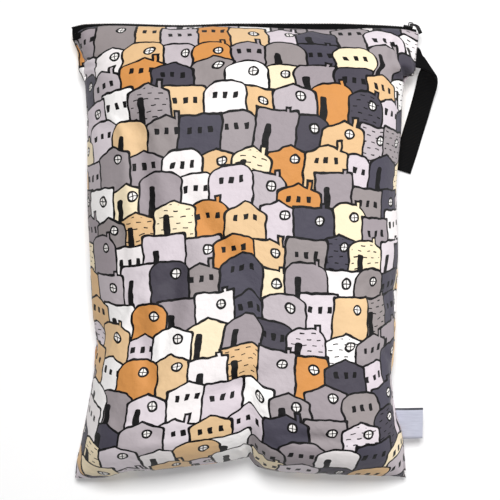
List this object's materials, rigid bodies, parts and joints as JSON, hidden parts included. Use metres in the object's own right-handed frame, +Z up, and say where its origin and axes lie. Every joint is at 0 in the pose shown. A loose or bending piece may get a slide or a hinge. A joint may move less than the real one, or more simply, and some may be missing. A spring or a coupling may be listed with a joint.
{
  "type": "cloth wet bag",
  "caption": "Zipped cloth wet bag, stuffed and lying on its back, with a folded webbing wrist strap and a blank side label.",
  "frame": {"origin": "middle of the flattened underside of the back panel, on the surface that the bag lies on", "axes": "+X across the bag towards the side with the strap and the label, +Y from the bottom seam to the zipper, +Z up from the surface, out of the front panel"},
  "size_m": [0.3428, 0.4256, 0.0962],
  "materials": {
    "printed_cloth": "matt smooth woven polyester with an all-over print in greys, tans, cream and white with black outlines",
    "zipper_tape": "matt black woven tape",
    "zipper_coil": "black nylon, soft sheen",
    "slider_enamel": "black enamel, satin",
    "strap_webbing": "black woven webbing, low sheen",
    "label_satin": "pale satin ribbon, soft sheen"
  },
  "bodies": {
    "bag": {"front_panel": "printed_cloth", "back_panel": "printed_cloth", "zipper_tape_front": "zipper_tape", "zipper_tape_back": "zipper_tape", "zipper_coil": "zipper_coil", "zipper_slider": "slider_enamel", "wrist_strap": "strap_webbing", "side_label": "label_satin"},
    "pull_tab": {"zipper_pull": "slider_enamel"}
  },
  "joints": [
    {"name": "pull_hinge", "type": "hinge", "parent": "bag", "child": "pull_tab", "pos_m": [0.15603, 0.21107, 0.02373], "axis": [0, 0, 1], "range_deg": [0, 170]}
  ]
}
